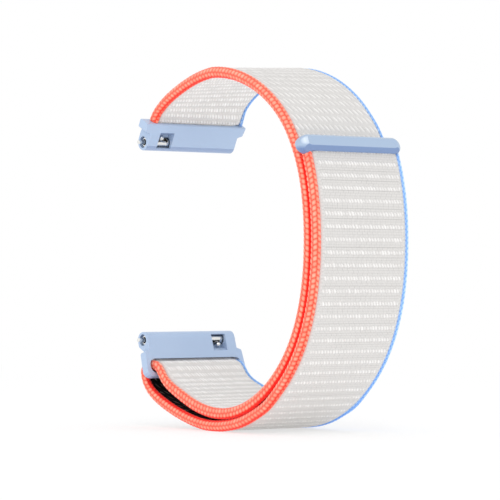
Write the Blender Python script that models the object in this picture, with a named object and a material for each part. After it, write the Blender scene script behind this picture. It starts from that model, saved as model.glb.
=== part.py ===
# Hook and loop watch strap, closed as if worn: one woven strip between two quick release lug adaptors.
# X runs along the spring bars, +Z points to the upper adaptor and the wrist side faces -Y.
# The origin lies midway between the two spring bars.

import math

import bmesh
import bpy
import numpy as np
from mathutils import Matrix, Vector

mm = 0.001

# Woven strip
strap_width = 22.0 * mm
edge_width = 1.8 * mm
edge_thickness = 2.1 * mm
web_thickness = 1.7 * mm
tip_web_thickness = 1.2 * mm
tongue_thickness = 1.1 * mm
web_corner = 0.3 * mm
web_corner_share = 1 / 3
seam_gap = 0.3 * mm
layer_gap = 0.35 * mm

# Oval that the inner run follows: places as shares of the depth, and of the rise or the drop
loop_depth = 51.8 * mm
rise_past_bar = 12.55 * mm
drop_past_bar = 13.4 * mm
oval_shares = (
    (0.180, 0.915), (0.415, 1.0), (0.655, 0.925), (0.882, 0.655), (1.0, -0.015),
    (0.896, -0.630), (0.540, -0.998), (0.313, -0.965), (0.199, -0.894), (0.120, -0.816),
)

# Lug adaptors: measured from the spring bar outwards, and across the plate
bar_spacing = 39.5 * mm
upper_lean = 27.0
lower_lean = 18.0
side_rail = 1.2 * mm
shoulder_step = 0.3 * mm
lug_gap = 0.2 * mm
adaptor_thickness = 3.4 * mm
bar_end_reach = 1.6 * mm
shoulder_reach = 2.4 * mm
shoulder_rise = 0.4 * mm
mouth_reach = 4.7 * mm
mouth_shift = 0.2 * mm
mouth_lip = 0.4 * mm
mouth_slope_start = 1.6 * mm
mouth_run = 1.0 * mm
plate_thickness = 1.8 * mm
plate_reach = 8.05 * mm
plate_corner = 1.5 * mm
back_slope_start = 1.0 * mm
back_slope_end = 2.6 * mm
outer_rail = 1.25 * mm
slot_height = 2.7 * mm
slot_side_gap = 0.2 * mm
slot_rake = 22.0
edge_round = 0.25 * mm
profile_round = 0.5 * mm
bar_end_round_share = 0.98
slot_round_share = 0.9

# Hem and rod that hold the fixed end
rod_radius = 0.35 * mm
rod_gap = 0.2 * mm
hem_wall = 0.3 * mm
hem_gap = 0.2 * mm
hem_reach = 3.45 * mm
rod_end_gap = 0.3 * mm

# Quick release window
window_inner = 2.1 * mm
window_outer = 1.3 * mm
window_start = 0.6 * mm
window_floor_end = 2.05 * mm
window_face_end = 2.9 * mm
window_depth = 1.9 * mm
ledge_depth = 1.1 * mm

# Spring bars
tube_radius = 0.9 * mm
tube_bore_radius = 0.62 * mm
tube_end_inset = 0.4 * mm
tube_gap = 0.25 * mm
pin_radius = 0.42 * mm
pin_stand_out = 1.5 * mm
pin_chamfer = 0.15 * mm
fixed_pin_shank = 9.6 * mm
knob_inset = 3.7 * mm
knob_radius = 0.55 * mm
knob_height = 0.75 * mm
knob_height_shares = (1.0, 0.7, 0.45, 0.0)
knob_radius_shares = (0.55, 0.9, 1.0, 0.8)
knob_stem_radius = 0.3 * mm
knob_stem_start = 0.55 * mm
knob_stem_end = 1.15 * mm
knob_lean = 25.0
release_travel = 1.3 * mm
plunger_shank = 5.1 * mm
travel_gap = 0.25 * mm
spring_wire_radius = 0.1 * mm
spring_radius = 0.38 * mm
spring_pitch = 0.72 * mm
spring_end_gap = 0.25 * mm

# Turn through the lower adaptor and the outer run
slot_run = 1.0 * mm
turn_radius = 1.65 * mm
turn_reach = 1.0 * mm
turn_guide_angles = (60.0, 15.0, -30.0)
swing_place_angle = 20.0
loose_start = 7.0 * mm
loose_run = 20.0 * mm
loose_gap = 1.7 * mm
loose_power = 1.3
loose_guide_shares = (0.0, 0.3, 0.6)
peel_place = 52.0 * mm
strap_end_height = 15.2 * mm

# Hook patch
patch_thickness = 0.35 * mm
patch_gap = 0.2 * mm
patch_side_margin = 0.5 * mm
patch_start = 4.0 * mm
patch_end_margin = 0.6 * mm

# End tab
tab_overhang = 1.2 * mm
tab_height = 3.4 * mm
tab_back = 1.0 * mm
tab_front = 2.15 * mm
tab_lower_chamfer = 1.1 * mm
tab_lower_depth = 1.0 * mm
tab_upper_chamfer = 0.6 * mm
tab_end_round = 1.65 * mm
tab_mouth_depth = 2.0 * mm
tab_mouth_gap = 0.2 * mm
tab_round = 0.3 * mm

# Fineness of the faceted surfaces
ring_turn = 7.0
ring_step = 3.0 * mm
route_step = 0.1 * mm
route_merge_share = 0.1
least_ring_share = 3.0
nose_angles = (80.0, 60.0, 40.0, 20.0)
edge_points = 10
round_points = 24
pin_points = 16
corner_steps = 3
plan_steps = 4
profile_steps = 5
wire_points = 9
bevel_segments = 2
bevel_angle = 40.0
smooth_angle = 35.0
run_smooth_angle = 50.0
overrun = 3.0 * mm

# Sizes that follow
loop_rise = bar_spacing / 2 + rise_past_bar
loop_drop = bar_spacing / 2 + drop_past_bar
adaptor_width = strap_width + 2 * side_rail
shoulder_width = adaptor_width - 2 * shoulder_step
neck_half = strap_width / 2 - lug_gap
tube_half = neck_half - tube_end_inset
knob_place = neck_half - knob_inset
window_near = knob_place - window_inner
window_far = knob_place + window_outer
tab_half = strap_width / 2 + tab_overhang
web_half = strap_width / 2 - edge_width - seam_gap
edge_middle = strap_width / 2 - edge_width / 2
layer_pitch = edge_thickness + layer_gap
socket_radius = edge_thickness / 2 + seam_gap
hem_hole_radius = rod_radius + rod_gap
hem_radius = hem_hole_radius + hem_wall
channel_radius = hem_radius + hem_gap
channel_half = web_half + rod_end_gap
tongue_slot = tongue_thickness + 2 * hem_gap
plate_middle = plate_thickness / 2 - adaptor_thickness / 2
slot_middle = plate_reach - outer_rail - slot_height / 2
rail_middle = plate_reach - outer_rail / 2


def paint(red, green, blue):
    """Linear colour of a screen colour."""
    linear = []
    for value in (red / 255, green / 255, blue / 255):
        linear.append(value / 12.92 if value < 0.04045 else ((value + 0.055) / 1.055) ** 2.4)
    return (*linear, 1.0)


def make_finish(name, colour, roughness, metallic=0.0):
    finish = bpy.data.materials.new(name)
    finish.use_nodes = True
    shader = finish.node_tree.nodes["Principled BSDF"]
    shader.inputs["Base Color"].default_value = colour
    shader.inputs["Roughness"].default_value = roughness
    shader.inputs["Metallic"].default_value = metallic
    finish.diffuse_color = colour
    return finish


def clear_scene():
    for item in list(bpy.data.objects):
        bpy.data.objects.remove(item, do_unlink=True)


def make_empty(name, matrix):
    empty = bpy.data.objects.new(name, None)
    bpy.context.collection.objects.link(empty)
    empty.matrix_world = matrix
    return empty


def make_object(name, mesh, finish, parent=None, place=Matrix.Identity(4)):
    """Object whose place is given in its parent's frame."""
    item = bpy.data.objects.new(name, mesh)
    bpy.context.collection.objects.link(item)
    item.parent = parent
    item.matrix_basis = place
    mesh.materials.append(finish)
    return item


def smooth(mesh, angle=smooth_angle):
    mesh.shade_smooth()
    mesh.set_sharp_from_angle(angle=math.radians(angle))
    return mesh


def mesh_of(name, work):
    bmesh.ops.recalc_face_normals(work, faces=work.faces)
    mesh = bpy.data.meshes.new(name)
    work.to_mesh(mesh)
    work.free()
    return mesh


def rounded_outline(corners, steps=corner_steps):
    """Closed outline with each corner (a, b, radius) turned into an arc of that radius."""
    points = []
    count = len(corners)
    for index, (a, b, radius) in enumerate(corners):
        here = np.array((a, b))
        if radius <= 0:
            points.append(here)
            continue
        back = np.array(corners[index - 1][:2]) - here
        ahead = np.array(corners[(index + 1) % count][:2]) - here
        back_unit = back / np.linalg.norm(back)
        ahead_unit = ahead / np.linalg.norm(ahead)
        half = math.acos(np.clip(back_unit @ ahead_unit, -1.0, 1.0)) / 2
        reach = radius / math.tan(half)
        middle = (back_unit + ahead_unit) / np.linalg.norm(back_unit + ahead_unit)
        centre = here + middle * (radius / math.sin(half))
        first = here + back_unit * reach - centre
        last = here + ahead_unit * reach - centre
        start = math.atan2(first[1], first[0])
        turn = (math.atan2(last[1], last[0]) - start + math.pi) % (2 * math.pi) - math.pi
        for step in range(steps + 1):
            angle = start + turn * step / steps
            points.append(centre + radius * np.array((math.cos(angle), math.sin(angle))))
    return points


def prism(name, outline, axis, low, high):
    """Solid between two planes across an axis; the outline lies in the other two axes in order."""
    work = bmesh.new()
    others = [index for index in range(3) if index != axis]
    rings = []
    for level in (low, high):
        ring = []
        for point in outline:
            place = [0.0, 0.0, 0.0]
            place[axis] = level
            place[others[0]], place[others[1]] = point
            ring.append(work.verts.new(place))
        rings.append(ring)
    count = len(outline)
    for index in range(count):
        following = (index + 1) % count
        work.faces.new((rings[0][index], rings[0][following], rings[1][following], rings[1][index]))
    work.faces.new(rings[0])
    work.faces.new(rings[1])
    return mesh_of(name, work)


def turned(name, profile, points=round_points):
    """Solid of revolution about X from (place along X, radius) pairs, closed by end faces."""
    work = bmesh.new()
    rings = []
    for along, radius in profile:
        ring = []
        for index in range(points):
            angle = 2 * math.pi * index / points
            ring.append(work.verts.new((along, radius * math.cos(angle), radius * math.sin(angle))))
        rings.append(ring)
    for near, far in zip(rings, rings[1:]):
        for index in range(points):
            following = (index + 1) % points
            work.faces.new((near[index], near[following], far[following], far[index]))
    work.faces.new(rings[0])
    work.faces.new(rings[-1])
    return mesh_of(name, work)


def cut(item, mesh, place, operation="DIFFERENCE"):
    """Boolean of an object with a hidden cutter placed in the object's own frame."""
    cutter = bpy.data.objects.new(item.name + ".cutter", mesh)
    bpy.context.collection.objects.link(cutter)
    cutter.parent = item
    cutter.matrix_basis = place
    cutter.hide_render = True
    cutter.display_type = "WIRE"
    modifier = item.modifiers.new(operation.title(), "BOOLEAN")
    modifier.operation = operation
    modifier.object = cutter


def bevel(item, width):
    modifier = item.modifiers.new("Round", "BEVEL")
    modifier.width = width
    modifier.segments = bevel_segments
    modifier.limit_method = "ANGLE"
    modifier.angle_limit = math.radians(bevel_angle)


def spline(points, first_heading, last_heading):
    """Dense points of a smooth curve through the given ones, with set headings at both ends."""
    points = np.array(points, dtype=float)
    spans = np.linalg.norm(np.diff(points, axis=0), axis=1)
    slopes = np.diff(points, axis=0) / spans[:, None]
    count = len(points)
    matrix = np.zeros((count, count))
    right = np.zeros((count, 2))
    matrix[0, 0] = 1.0
    matrix[-1, -1] = 1.0
    right[0] = first_heading
    right[-1] = last_heading
    for index in range(1, count - 1):
        before = spans[index - 1]
        after = spans[index]
        matrix[index, index - 1] = after
        matrix[index, index] = 2 * (before + after)
        matrix[index, index + 1] = before
        right[index] = 3 * (after * slopes[index - 1] + before * slopes[index])
    tangents = np.linalg.solve(matrix, right)
    dense = [points[0]]
    for index, span in enumerate(spans):
        steps = max(2, math.ceil(span / route_step))
        for step in range(1, steps + 1):
            share = step / steps
            square = share * share
            cube = square * share
            dense.append(
                (2 * cube - 3 * square + 1) * points[index]
                + (cube - 2 * square + share) * span * tangents[index]
                + (3 * square - 2 * cube) * points[index + 1]
                + (cube - square) * span * tangents[index + 1]
            )
    return np.array(dense)


class Route:
    """Middle line of the strip in the YZ plane, measured by length from its fixed end."""

    def __init__(self, points):
        keep = [points[0]]
        for point in points[1:]:
            if np.linalg.norm(point - keep[-1]) > route_step * route_merge_share:
                keep.append(point)
        self.points = np.array(keep)
        steps = np.linalg.norm(np.diff(self.points, axis=0), axis=1)
        self.lengths = np.concatenate(([0.0], np.cumsum(steps)))
        tangents = np.gradient(self.points, self.lengths, axis=0)
        self.tangents = tangents / np.linalg.norm(tangents, axis=1)[:, None]
        self.total = self.lengths[-1]

    def point(self, length):
        return np.array([np.interp(length, self.lengths, self.points[:, axis]) for axis in (0, 1)])

    def tangent(self, length):
        mixed = np.array([np.interp(length, self.lengths, self.tangents[:, axis]) for axis in (0, 1)])
        return mixed / np.linalg.norm(mixed)

    def skin_normal(self, length):
        """Unit normal towards the face that lies on the skin in the inner run."""
        along = self.tangent(length)
        return np.array((-along[1], along[0]))

    def stations(self, first, last):
        """Lengths of the rings: close together in bends, wide apart on the flat."""
        found = [first]
        here = first
        while here < last:
            step = route_step
            while here + step < last and step < ring_step:
                swing = self.tangent(here) @ self.tangent(here + step)
                if math.degrees(math.acos(min(1.0, swing))) >= ring_turn:
                    break
                step += route_step
            here += step
            found.append(min(here, last))
        if found[-1] - found[-2] < route_step * least_ring_share:
            found.pop(-2)
        return found

    def length_near(self, place):
        return self.lengths[np.argmin(np.linalg.norm(self.points - place, axis=1))]


def adaptor_frame(is_upper):
    """Frame of an adaptor: its Z runs outwards from the spring bar, its -Y to the wrist side."""
    if is_upper:
        place = Matrix.Translation((0, 0, bar_spacing / 2))
        return place @ Matrix.Rotation(math.radians(upper_lean), 4, "X")
    place = Matrix.Translation((0, 0, -bar_spacing / 2))
    half_turn = Matrix.Rotation(math.pi, 4, "Y")
    return place @ Matrix.Rotation(math.radians(-lower_lean), 4, "X") @ half_turn


def section_place(frame, across, outwards):
    """YZ place of a point given across the plate and outwards from the bar."""
    place = frame @ Vector((0, across, outwards))
    return np.array((place.y, place.z))


def section_direction(frame, across, outwards):
    direction = frame.to_3x3() @ Vector((0, across, outwards))
    return np.array((direction.y, direction.z))


def inner_points(upper, lower):
    """Anchor, mouth, oval and lower slot, in order."""
    hem = section_place(upper, -mouth_shift, hem_reach)
    mouth = section_place(upper, -mouth_shift, mouth_reach)
    outwards = section_direction(upper, 0, 1)
    rake = math.radians(slot_rake)
    through = section_direction(lower, math.cos(rake), -math.sin(rake))
    slot = section_place(lower, plate_middle, slot_middle)
    oval = []
    for deep, high in oval_shares:
        oval.append((-deep * loop_depth, high * (loop_rise if high > 0 else loop_drop)))
    loop = spline([mouth, *oval, slot - through * slot_run], outwards, through)
    return hem, loop, slot, through


def outer_points(loop_route, slot, through):
    """Turn behind the lower adaptor and the run over the outside of the loop."""
    down = np.array((through[1], -through[0]))
    centre = slot + through * turn_reach + down * turn_radius
    turn = []
    for angle in turn_guide_angles:
        swing = math.radians(angle)
        turn.append(centre + turn_radius * (math.cos(swing) * through - math.sin(swing) * down))

    def outer(back):
        here = loop_route.total - back
        stretch = max(0.0, 1.0 - (back - loose_start) / loose_run)
        lift = layer_pitch + loose_gap * stretch**loose_power
        return loop_route.point(here) - loop_route.skin_normal(here) * lift

    loose = [outer(loose_start + share * loose_run) for share in loose_guide_shares]
    end_of_loose = loose_start + loose_run
    tab = loop_route.points[:, 1] > strap_end_height + tab_height + overrun
    last = loop_route.total - loop_route.lengths[np.nonzero(tab)[0][-1]]
    steps = math.ceil((last - end_of_loose) / route_step)
    close = np.array([outer(back) for back in np.linspace(end_of_loose, last, steps + 1)])
    joined = [slot + through * turn_reach, *turn, *loose, close[0]]
    heading = close[1] - close[0]
    curve = spline(joined, through, heading / np.linalg.norm(heading))
    return centre, curve, close


def build_route(upper, lower):
    hem, loop, slot, through = inner_points(upper, lower)
    centre, turn, close = outer_points(Route(loop), slot, through)
    route = Route(np.concatenate(([hem], loop, turn, close[1:])))
    down = np.array((through[1], -through[0]))
    swing = math.radians(swing_place_angle)
    hinge = centre + turn_radius * (math.cos(swing) * through - math.sin(swing) * down)
    marks = {
        "mouth": float(np.linalg.norm(loop[0] - hem)),
        "slot": route.length_near(slot),
        "swing": route.length_near(hinge),
    }
    above = route.points[:, 1] > strap_end_height
    rising = np.nonzero(above & (route.lengths > marks["swing"]))[0][0]
    marks["end"] = route.lengths[rising]
    marks["peel"] = marks["end"] - peel_place
    return route, marks


def loft(name, route, stations, section, origin):
    """Solid through one section per station; section(length) gives (across X, along the normal) pairs."""
    work = bmesh.new()
    rings = []
    for length in stations:
        place = route.point(length) - origin
        normal = route.skin_normal(length)
        ring = []
        for across, lift in section(length):
            y, z = place + normal * lift
            ring.append(work.verts.new((across, y, z)))
        rings.append(ring)
    count = len(rings[0])
    for near, far in zip(rings, rings[1:]):
        for index in range(count):
            following = (index + 1) % count
            work.faces.new((near[index], near[following], far[following], far[index]))
    work.faces.new(rings[0])
    work.faces.new(rings[-1])
    return smooth(mesh_of(name, work), run_smooth_angle)


def nose(length, start, radius):
    """Share of full thickness in the round nose that turns in a socket at the start of a run."""
    inside = radius - (length - start)
    if inside <= 0:
        return 1.0
    return math.sqrt(max(1.0 - (inside / radius) ** 2, 0.0))


def nose_stations(route, start, last, radius):
    """Stations that follow the round nose and then the run; the nose centre lies at start + radius."""
    tip = [start + radius * (1 - math.sin(math.radians(angle))) for angle in nose_angles]
    return tip + route.stations(start + radius, last)


def web_section(half, low, high):
    corner = min(web_corner, (high - low) * web_corner_share)
    return (
        (-half, low + corner), (-half, high - corner), (-half + corner, high), (half - corner, high),
        (half, high - corner), (half, low + corner), (half - corner, low), (-half + corner, low),
    )


def edge_section(middle, share=1.0):
    points = []
    for index in range(edge_points):
        angle = 2 * math.pi * (index + 0.5) / edge_points
        points.append((
            middle + edge_width / 2 * math.cos(angle),
            share * edge_thickness / 2 * math.sin(angle),
        ))
    return points


def add_run(
    name, route, reach, finishes, origin, parent, web_limits, socket, starts_with_nose=True, edge_reach=None
):
    """Web and two edges of one stretch of the strip: a round nose at its start, a socket at its end."""
    pieces = []
    place = Matrix.Translation((0, origin[0], origin[1])) if parent is None else Matrix.Identity(4)
    for kind, finish in zip(("web", "near_edge", "far_edge"), finishes):
        radius = (web_thickness if kind == "web" else edge_thickness) / 2
        first, stop = edge_reach if edge_reach and kind != "web" else reach
        start = first - radius if starts_with_nose else first

        def section(length, kind=kind, start=start, radius=radius):
            share = nose(length, start, radius) if starts_with_nose else 1.0
            if kind == "web":
                low, high = web_limits(length)
                return web_section(web_half, low * share, high * share)
            return edge_section(-edge_middle if kind == "near_edge" else edge_middle, share)

        if starts_with_nose:
            stations = nose_stations(route, start, stop, radius)
        else:
            stations = route.stations(start, stop)
        mesh = loft(f"{name}_{kind}", route, stations, section, origin)
        item = make_object(f"{name}_{kind}", mesh, finish, parent, place)
        if socket is not None:
            hollow = turned("socket", ((-strap_width, socket_radius), (strap_width, socket_radius)))
            cut(item, hollow, Matrix.Translation((0, *(socket - origin))))
        pieces.append(item)
    return pieces


def add_adaptor(name, frame, pivot, is_upper, finish):
    """Moulded adaptor: a side profile and a plan outline that bound one solid, then its cuts."""
    half = adaptor_thickness / 2
    end_round = min(half, bar_end_reach) * bar_end_round_share
    side = [(-half, -bar_end_reach, end_round), (half, -bar_end_reach, end_round)]
    if is_upper:
        lip = tongue_slot / 2 + mouth_lip - mouth_shift
        reach = mouth_reach
        side += [(half, mouth_slope_start, profile_round), (lip, reach, edge_round), (-half, reach, edge_round)]
        corner = edge_round
    else:
        back = plate_thickness - half
        reach = plate_reach
        side += [(half, back_slope_start, profile_round), (back, back_slope_end, profile_round)]
        side += [(back, reach, profile_round), (-half, reach, profile_round)]
        corner = plate_corner
    wide = adaptor_width / 2
    shoulder = shoulder_width / 2
    step = shoulder_reach + shoulder_rise
    if is_upper:
        inner = wide - corner * 2
        outer_end = [
            (wide, reach - corner, edge_round), (inner, reach + overrun, 0),
            (-inner, reach + overrun, 0), (-wide, reach - corner, edge_round),
        ]
    else:
        outer_end = [(wide, reach, corner), (-wide, reach, corner)]
    plan = [
        (-neck_half, -overrun, 0), (neck_half, -overrun, 0), (neck_half, shoulder_reach, edge_round),
        (shoulder, step, profile_round), *outer_end,
        (-shoulder, step, profile_round), (-neck_half, shoulder_reach, edge_round),
    ]
    place = Matrix.Translation((0, -pivot[0], -pivot[1]))
    body = prism(name, rounded_outline(side, profile_steps), 0, -strap_width, strap_width)
    item = make_object(name, smooth(body), finish, frame, place)
    outline = prism("plan", rounded_outline(plan, plan_steps), 1, -adaptor_width, adaptor_width)
    cut(item, outline, Matrix.Identity(4), "INTERSECT")
    if not is_upper:
        across = strap_width / 2 + slot_side_gap
        tall = slot_height / 2
        round_end = tall * slot_round_share
        shape = [
            (-across, -tall, round_end), (across, -tall, round_end), (across, tall, round_end),
            (-across, tall, round_end),
        ]
        slot = prism("slot", rounded_outline(shape, profile_steps), 1, -overrun, overrun)
        rake = Matrix.Rotation(math.radians(-slot_rake), 4, "X")
        cut(item, slot, Matrix.Translation((0, plate_middle, slot_middle)) @ rake)
    bevel(item, edge_round)

    bore = turned("bore", ((-strap_width, tube_radius + tube_gap), (strap_width, tube_radius + tube_gap)))
    cut(item, bore, Matrix.Identity(4))
    window = [
        (-half - overrun, -window_start), (window_depth - half, -window_start),
        (window_depth - half, window_floor_end), (ledge_depth - half, window_floor_end),
        (-half, window_face_end), (-half - overrun, window_face_end),
    ]
    cut(item, prism("window", window, 0, -window_far, -window_near), Matrix.Identity(4))
    if is_upper:
        channel = turned("channel", ((-channel_half, channel_radius), (channel_half, channel_radius)))
        cut(item, channel, Matrix.Translation((0, -mouth_shift, hem_reach)))
        low = -mouth_shift - tongue_slot / 2
        high = low + tongue_slot
        mouth = [(low, hem_reach), (high, hem_reach), (high, reach + overrun), (low, reach + overrun)]
        cut(item, prism("mouth", mouth, 0, -channel_half, channel_half), Matrix.Identity(4))
    return item


def add_spring_bar(name, frame, pivot, finish, dark_finish):
    """Quick release spring bar in its adaptor's frame; the knob end lies at -X."""
    place = Matrix.Translation((0, -pivot[0], -pivot[1]))
    half = tube_half
    end = half + overrun
    tube = turned("tube", ((-half, tube_radius), (half, tube_radius)))
    tube = make_object(f"{name}_bar_tube", smooth(tube), finish, frame, place)
    cut(tube, turned("tube_bore", ((-end, tube_bore_radius), (end, tube_bore_radius))), Matrix.Identity(4))
    lean = Matrix.Rotation(math.radians(knob_lean), 4, "X")
    slit_half = knob_stem_radius + travel_gap
    slit = [
        (-knob_place - slit_half, -slit_half), (-knob_place + release_travel + slit_half, -slit_half),
        (-knob_place + release_travel + slit_half, slit_half), (-knob_place - slit_half, slit_half),
    ]
    cut(tube, prism("slit", slit, 2, 0, tube_radius + overrun), lean)

    tip = neck_half + pin_stand_out - seam_gap
    shank = half - fixed_pin_shank
    fixed = (
        (shank, pin_radius), (tip - pin_chamfer, pin_radius), (tip, pin_radius - pin_chamfer),
    )
    make_object(f"{name}_fixed_pin", smooth(turned("fixed_pin", fixed, pin_points)), finish, frame, place)

    slider = make_empty(f"{name}_release", Matrix.Identity(4))
    slider.parent = frame
    slider.matrix_basis = place @ Matrix.Translation((-knob_place, 0, 0))
    back = Matrix.Translation((knob_place, 0, 0))
    moving = (
        (-tip, pin_radius - pin_chamfer), (-tip + pin_chamfer, pin_radius),
        (-half + plunger_shank, pin_radius),
    )
    sliding = smooth(turned("sliding_pin", moving, pin_points))
    make_object(f"{name}_sliding_pin", sliding, finish, slider, back)

    upright = Matrix.Rotation(math.pi / 2, 4, "Y")
    knob = []
    for high, wide in zip(knob_height_shares, knob_radius_shares):
        knob.append((-knob_stem_end - knob_height * high, knob_radius * wide))
    knob += [(-knob_stem_end, knob_stem_radius), (-knob_stem_start, knob_stem_radius)]
    knob = smooth(turned("knob", knob, pin_points))
    make_object(f"{name}_release_knob", knob, finish, slider, lean @ upright)

    first = -half + plunger_shank + spring_end_gap
    last = shank - spring_end_gap
    turns = (last - first - 2 * spring_wire_radius) / spring_pitch
    coil = bpy.data.curves.new(f"{name}_bar_spring", "CURVE")
    coil.dimensions = "3D"
    coil.bevel_depth = spring_wire_radius
    coil.bevel_resolution = 1
    coil.use_fill_caps = True
    count = math.ceil(turns * wire_points)
    line = coil.splines.new("POLY")
    line.points.add(count)
    places = []
    for index in range(count + 1):
        share = index / count
        angle = 2 * math.pi * turns * share
        along = first + spring_wire_radius + (last - first - 2 * spring_wire_radius) * share
        places.append((along, spring_radius * math.cos(angle), spring_radius * math.sin(angle)))
        line.points[index].co = (*places[-1], 1.0)
    make_object(f"{name}_bar_spring", coil, dark_finish, frame, place)
    places = np.array(places)
    gaps = []
    for index in range(count + 1 - wire_points // 2):
        far = places[index + wire_points // 2:]
        gaps.append(np.linalg.norm(far - places[index], axis=1).min())
    print(f"{name} bar spring, least gap to itself {(min(gaps) - 2 * spring_wire_radius) / mm:.2f} mm")


def add_fixed_run(route, marks, finishes, swing):
    """Inner run from its hem in the upper adaptor to the turn behind the lower one."""
    grown = marks["mouth"] + mouth_run + edge_thickness

    def limits(length):
        share = (length - marks["mouth"]) / (grown - marks["mouth"])
        share = min(max(share, 0.0), 1.0)
        half = (tongue_thickness + (web_thickness - tongue_thickness) * share) / 2
        return -half, half

    origin = np.array((0.0, 0.0))
    edges = (marks["mouth"] + seam_gap, marks["swing"])
    web, *_ = add_run(
        "fixed_run", route, (0.0, marks["swing"]), finishes, origin, None, limits, swing, False, edges,
    )
    hem = route.point(0.0)
    place = Matrix.Translation((0, hem[0], hem[1]))
    cut(web, turned("hem", ((-web_half, hem_radius), (web_half, hem_radius))), place, "UNION")
    hole = turned("rod_hole", ((-strap_width, hem_hole_radius), (strap_width, hem_hole_radius)))
    cut(web, hole, place)
    return web


def add_tab(route, marks, origin, parent, finish):
    """Moulded tab on the free end; its mouth holds the end of the web."""
    end = marks["end"]
    lower = [
        (-tab_back, 0, edge_round), (-tab_back, tab_height, profile_round),
        (tab_front - tab_upper_chamfer, tab_height, tab_round),
        (tab_front, tab_height - tab_upper_chamfer, tab_round),
        (tab_front, tab_lower_chamfer, tab_round), (tab_front - tab_lower_depth, 0, tab_round),
    ]
    along = route.tangent(end + tab_height / 2)
    outwards = route.skin_normal(end + tab_height / 2)
    base = route.point(end) - origin
    turn = Matrix((
        (1.0, 0.0, 0.0, 0.0), (0.0, outwards[0], along[0], base[0]), (0.0, outwards[1], along[1], base[1]),
        (0.0, 0.0, 0.0, 1.0),
    ))
    body = prism("end_tab", rounded_outline(lower), 0, -strap_width, strap_width)
    tab = make_object("end_tab", smooth(body), finish, parent, turn)
    plan = [
        (-tab_half, 0, tab_end_round), (tab_half, 0, tab_end_round), (tab_half, tab_height, tab_end_round),
        (-tab_half, tab_height, tab_end_round),
    ]
    shape = prism("tab_plan", rounded_outline(plan, profile_steps), 1, -strap_width, strap_width)
    cut(tab, shape, Matrix.Identity(4), "INTERSECT")
    bevel(tab, edge_round)
    low = web_thickness / 2 - tip_web_thickness - tab_mouth_gap
    high = web_thickness / 2 + tab_mouth_gap
    mouth = [(low, -overrun), (high, -overrun), (high, tab_mouth_depth), (low, tab_mouth_depth)]
    wide = web_half + tab_mouth_gap
    cut(tab, prism("tab_mouth", mouth, 0, -wide, wide), Matrix.Identity(4))


def add_patch(route, marks, origin, parent, finish):
    top = web_thickness / 2 - tip_web_thickness - patch_gap
    half = web_half - patch_side_margin

    def section(length):
        return web_section(half, top - patch_thickness, top)

    first = marks["peel"] + patch_start
    mesh = loft("hook_patch", route, route.stations(first, marks["end"] - patch_end_margin), section, origin)
    make_object("hook_patch", mesh, finish, parent)


def main():
    clear_scene()
    plastic = make_finish("light_blue_plastic", paint(176, 196, 224), 0.38)
    web = make_finish("white_woven_web", paint(226, 224, 222), 0.85)
    coral = make_finish("coral_edge_yarn", paint(255, 104, 84), 0.75)
    blue = make_finish("blue_edge_yarn", paint(140, 185, 255), 0.75)
    hooks = make_finish("hook_tape", paint(214, 214, 214), 0.6)
    steel = make_finish("polished_steel", paint(226, 226, 224), 0.18, 1.0)
    spring_steel = make_finish("spring_steel", paint(170, 170, 168), 0.3, 1.0)
    runs = (web, coral, blue)

    upper = adaptor_frame(True)
    lower = adaptor_frame(False)
    route, marks = build_route(upper, lower)

    upper_pivot = (-mouth_shift, hem_reach)
    lower_pivot = (plate_middle, rail_middle)
    upper_empty = make_empty("upper_swivel", upper @ Matrix.Translation((0, *upper_pivot)))
    lower_empty = make_empty("lower_swivel", lower @ Matrix.Translation((0, *lower_pivot)))
    for name, empty, pivot in (("upper", upper_empty, upper_pivot), ("lower", lower_empty, lower_pivot)):
        add_adaptor(f"{name}_adaptor", empty, pivot, name == "upper", plastic)
        add_spring_bar(name, empty, pivot, steel, spring_steel)

    swing = route.point(marks["swing"])
    peel = route.point(marks["peel"])
    add_fixed_run(route, marks, runs, swing)
    rod = turned("anchor_rod", ((-web_half, rod_radius), (web_half, rod_radius)), pin_points)
    hem = route.point(0.0)
    make_object("anchor_rod", smooth(rod), steel, None, Matrix.Translation((0, hem[0], hem[1])))

    half_web = web_thickness / 2
    swing_empty = make_empty("outer_run_swing", Matrix.Translation((0, *swing)))
    add_run(
        "outer_run", route, (marks["swing"], marks["peel"]), runs, swing, swing_empty,
        lambda length: (-half_web, half_web), peel,
    )
    peel_empty = make_empty("tip_peel", Matrix.Translation((0, *(peel - swing))))
    peel_empty.parent = swing_empty
    thin = half_web - tip_web_thickness
    inset = tab_mouth_depth - tab_mouth_gap

    def tip_limits(length):
        return thin, half_web

    tip = (marks["peel"], marks["end"] + inset)
    tip_edges = (marks["peel"], marks["end"] - seam_gap)
    add_run("tip", route, tip, runs, peel, peel_empty, tip_limits, None, edge_reach=tip_edges)
    add_patch(route, marks, peel, peel_empty, hooks)
    add_tab(route, marks, peel, peel_empty, plastic)
    bpy.context.view_layer.update()
    for empty in (upper_empty, lower_empty, swing_empty, peel_empty):
        print(empty.name, "axis at", [round(value, 6) for value in empty.matrix_world.translation])
    print("lengths along the strip in mm", {name: round(value / mm, 2) for name, value in marks.items()})


main()
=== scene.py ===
import math

import bmesh
import bpy
import numpy as np
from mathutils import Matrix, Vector


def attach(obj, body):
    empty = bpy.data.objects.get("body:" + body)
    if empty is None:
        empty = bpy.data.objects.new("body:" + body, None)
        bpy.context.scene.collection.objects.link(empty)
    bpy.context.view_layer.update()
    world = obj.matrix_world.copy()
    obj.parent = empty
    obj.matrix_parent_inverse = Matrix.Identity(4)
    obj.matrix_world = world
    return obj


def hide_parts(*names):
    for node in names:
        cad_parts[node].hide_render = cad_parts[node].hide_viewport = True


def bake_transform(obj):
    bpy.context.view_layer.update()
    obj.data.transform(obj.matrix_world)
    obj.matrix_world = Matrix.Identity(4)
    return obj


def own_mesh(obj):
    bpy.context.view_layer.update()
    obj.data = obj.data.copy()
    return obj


mm = 0.001

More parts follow.
